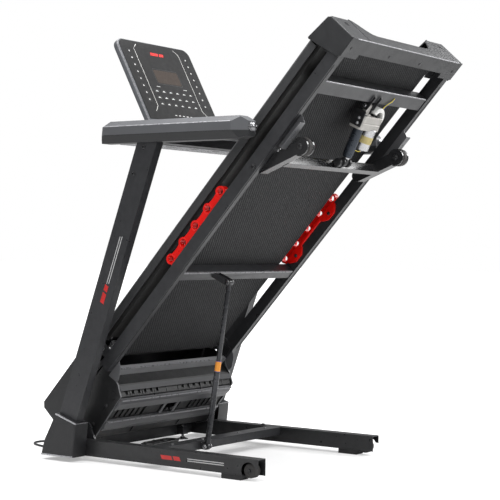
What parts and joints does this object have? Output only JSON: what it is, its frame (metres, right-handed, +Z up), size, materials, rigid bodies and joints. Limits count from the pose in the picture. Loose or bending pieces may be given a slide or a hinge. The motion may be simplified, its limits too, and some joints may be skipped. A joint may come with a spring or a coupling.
{
  "type": "folding treadmill",
  "caption": "Folding motorised treadmill with powered incline, console on leaning uprights, side handrails, cushioned deck and a gas strut, modelled folded.",
  "frame": {"origin": "on the floor, under the middle of the machine's bounding box, with the free power cord left out", "axes": "+X to the runner's right, +Y forward, from the rear end of the deck towards the console and motor hood, +Z up; the deck is folded up at rest"},
  "size_m": [0.804, 1.324, 1.3272],
  "materials": {
    "frame_paint": "satin dark grey powder coat",
    "black_steel": "satin black paint",
    "dark_plastic": "fine-grained moulded plastic",
    "shell_plastic": "fine-grained moulded plastic",
    "grey_plastic": "satin moulded plastic",
    "console_panel": "smooth printed panel",
    "black_rubber": "matt rubber",
    "belt_cloth": "woven cloth backing with a rubber top",
    "red_elastomer": "glossy moulded elastomer",
    "bright_steel": "turned steel",
    "cast_metal": "die-cast housing",
    "coated_board": "fibreboard with a dark coating",
    "red_plastic": "glossy moulded plastic"
  },
  "bodies": {
    "base": {"base_tube_left": "frame_paint", "base_tube_right": "frame_paint", "foot_pad_left": "black_rubber", "foot_pad_right": "black_rubber", "upright_left": "frame_paint", "upright_right": "frame_paint", "boot_left": "dark_plastic", "boot_right": "dark_plastic", "pivot_lug_left": "frame_paint", "pivot_lug_right": "frame_paint", "rear_cross_tube": "frame_paint", "front_cross_tube": "frame_paint", "handrail_left": "grey_plastic", "handrail_right": "grey_plastic", "console_bridge": "shell_plastic", "console_body": "grey_plastic", "console_face": "console_panel", "power_inlet": "dark_plastic", "cord_gland": "black_rubber", "power_cord": "black_rubber", "cord_hank": "black_rubber", "power_plug": "black_rubber"},
    "deck": {"deck_tube_left": "frame_paint", "deck_tube_right": "frame_paint", "side_plate_left": "black_steel", "side_plate_right": "black_steel", "foot_rail_left": "dark_plastic", "foot_rail_right": "dark_plastic", "end_cap_left": "shell_plastic", "end_cap_right": "shell_plastic", "cushion_left": "red_elastomer", "cushion_right": "red_elastomer", "cross_member_front": "frame_paint", "cross_member_rear": "frame_paint", "front_cross_bar": "frame_paint", "lip_bar": "frame_paint", "motor_cradle": "frame_paint", "belly_pan": "dark_plastic", "motor_hood": "shell_plastic", "rear_cover": "shell_plastic", "deck_board": "coated_board", "running_belt": "belt_cloth", "drive_belt": "black_rubber", "drive_motor": "black_steel"},
    "transport_wheel_left": {"transport_wheel_left": "black_rubber"},
    "transport_wheel_right": {"transport_wheel_right": "black_rubber"},
    "levelling_foot_left": {"levelling_foot_left": "bright_steel"},
    "levelling_foot_right": {"levelling_foot_right": "bright_steel"},
    "safety_key": {"safety_key": "red_plastic"},
    "power_switch": {"power_switch": "red_plastic"},
    "front_roller": {"front_roller": "bright_steel"},
    "rear_roller": {"rear_roller": "bright_steel"},
    "motor_pulley": {"motor_pulley": "bright_steel"},
    "lift_frame": {"lift_frame": "black_steel"},
    "lift_wheel_left": {"lift_wheel_left": "black_rubber"},
    "lift_wheel_right": {"lift_wheel_right": "black_rubber"},
    "actuator_body": {"actuator_body": "cast_metal"},
    "actuator_rod": {"actuator_rod": "bright_steel"},
    "strut_tube": {"strut_tube": "black_steel"},
    "strut_rod": {"strut_rod": "black_steel"}
  },
  "joints": [
    {"name": "deck_fold", "type": "hinge", "parent": "base", "child": "deck", "pos_m": [0, 0.38585, 0.097], "axis": [1, 0, 0], "range_deg": [0, 51.3]},
    {"name": "strut_swing", "type": "hinge", "parent": "base", "child": "strut_tube", "pos_m": [-0.125, 0.05385, 0.048], "axis": [1, 0, 0], "range_deg": [0, 78.32]},
    {"name": "strut_stroke", "type": "slide", "parent": "strut_tube", "child": "strut_rod", "axis": [0, -0.1493, 0.9888], "range_m": [-0.2324, 0.001]},
    {"name": "lift_swing", "type": "hinge", "parent": "deck", "child": "lift_frame", "pos_m": [0, -0.24368, 0.8933], "axis": [-1, 0, 0], "range_deg": [-37, 0]},
    {"name": "actuator_swing", "type": "hinge", "parent": "deck", "child": "actuator_body", "pos_m": [0.015, -0.42256, 1.08748], "axis": [1, 0, 0], "range_deg": [-5.93, 0]},
    {"name": "actuator_stroke", "type": "slide", "parent": "actuator_body", "child": "actuator_rod", "axis": [0, 0.4278, -0.9039], "range_m": [0, 0.06259]},
    {"name": "lift_wheel_left_spin", "type": "hinge", "parent": "lift_frame", "child": "lift_wheel_left", "pos_m": [-0.273, -0.38305, 0.94946], "axis": [1, 0, 0], "continuous": true},
    {"name": "transport_wheel_left_spin", "type": "hinge", "parent": "base", "child": "transport_wheel_left", "pos_m": [-0.3205, -0.25315, 0.029], "axis": [1, 0, 0], "continuous": true},
    {"name": "levelling_foot_left_height", "type": "slide", "parent": "base", "child": "levelling_foot_left", "axis": [0, 0, 1], "range_m": [0, 0.008]},
    {"name": "lift_wheel_right_spin", "type": "hinge", "parent": "lift_frame", "child": "lift_wheel_right", "pos_m": [0.273, -0.38305, 0.94946], "axis": [1, 0, 0], "continuous": true},
    {"name": "transport_wheel_right_spin", "type": "hinge", "parent": "base", "child": "transport_wheel_right", "pos_m": [0.3205, -0.25315, 0.029], "axis": [1, 0, 0], "continuous": true},
    {"name": "levelling_foot_right_height", "type": "slide", "parent": "base", "child": "levelling_foot_right", "axis": [0, 0, 1], "range_m": [0, 0.008]},
    {"name": "front_roller_spin", "type": "hinge", "parent": "deck", "child": "front_roller", "pos_m": [0, 0.32135, 0.34573], "axis": [1, 0, 0], "continuous": true},
    {"name": "rear_roller_spin", "type": "hinge", "parent": "deck", "child": "rear_roller", "pos_m": [0, -0.49097, 1.24791], "axis": [1, 0, 0], "continuous": true},
    {"name": "motor_pulley_spin", "type": "hinge", "parent": "deck", "child": "motor_pulley", "pos_m": [0.265, 0.39475, 0.1992], "axis": [1, 0, 0], "continuous": true},
    {"name": "safety_key_pull", "type": "slide", "parent": "base", "child": "safety_key", "axis": [0, -0.8788, 0.4772], "range_m": [0, 0.03]},
    {"name": "power_switch_rock", "type": "hinge", "parent": "base", "child": "power_switch", "pos_m": [-0.186, 0.48915, 0.041], "axis": [1, 0, 0], "range_deg": [0, 18]}
  ],
  "couplings": [
    {"joint": "strut_swing", "follows": "deck_fold", "ratio": 1.5209},
    {"joint": "strut_stroke", "follows": "deck_fold", "m_per_rad": -0.25845},
    {"joint": "actuator_swing", "follows": "lift_swing", "ratio": 0.15497},
    {"joint": "actuator_stroke", "follows": "lift_swing", "m_per_rad": -0.096144},
    {"joint": "rear_roller_spin", "follows": "front_roller_spin", "ratio": 1},
    {"joint": "motor_pulley_spin", "follows": "front_roller_spin", "ratio": 2.1656}
  ]
}
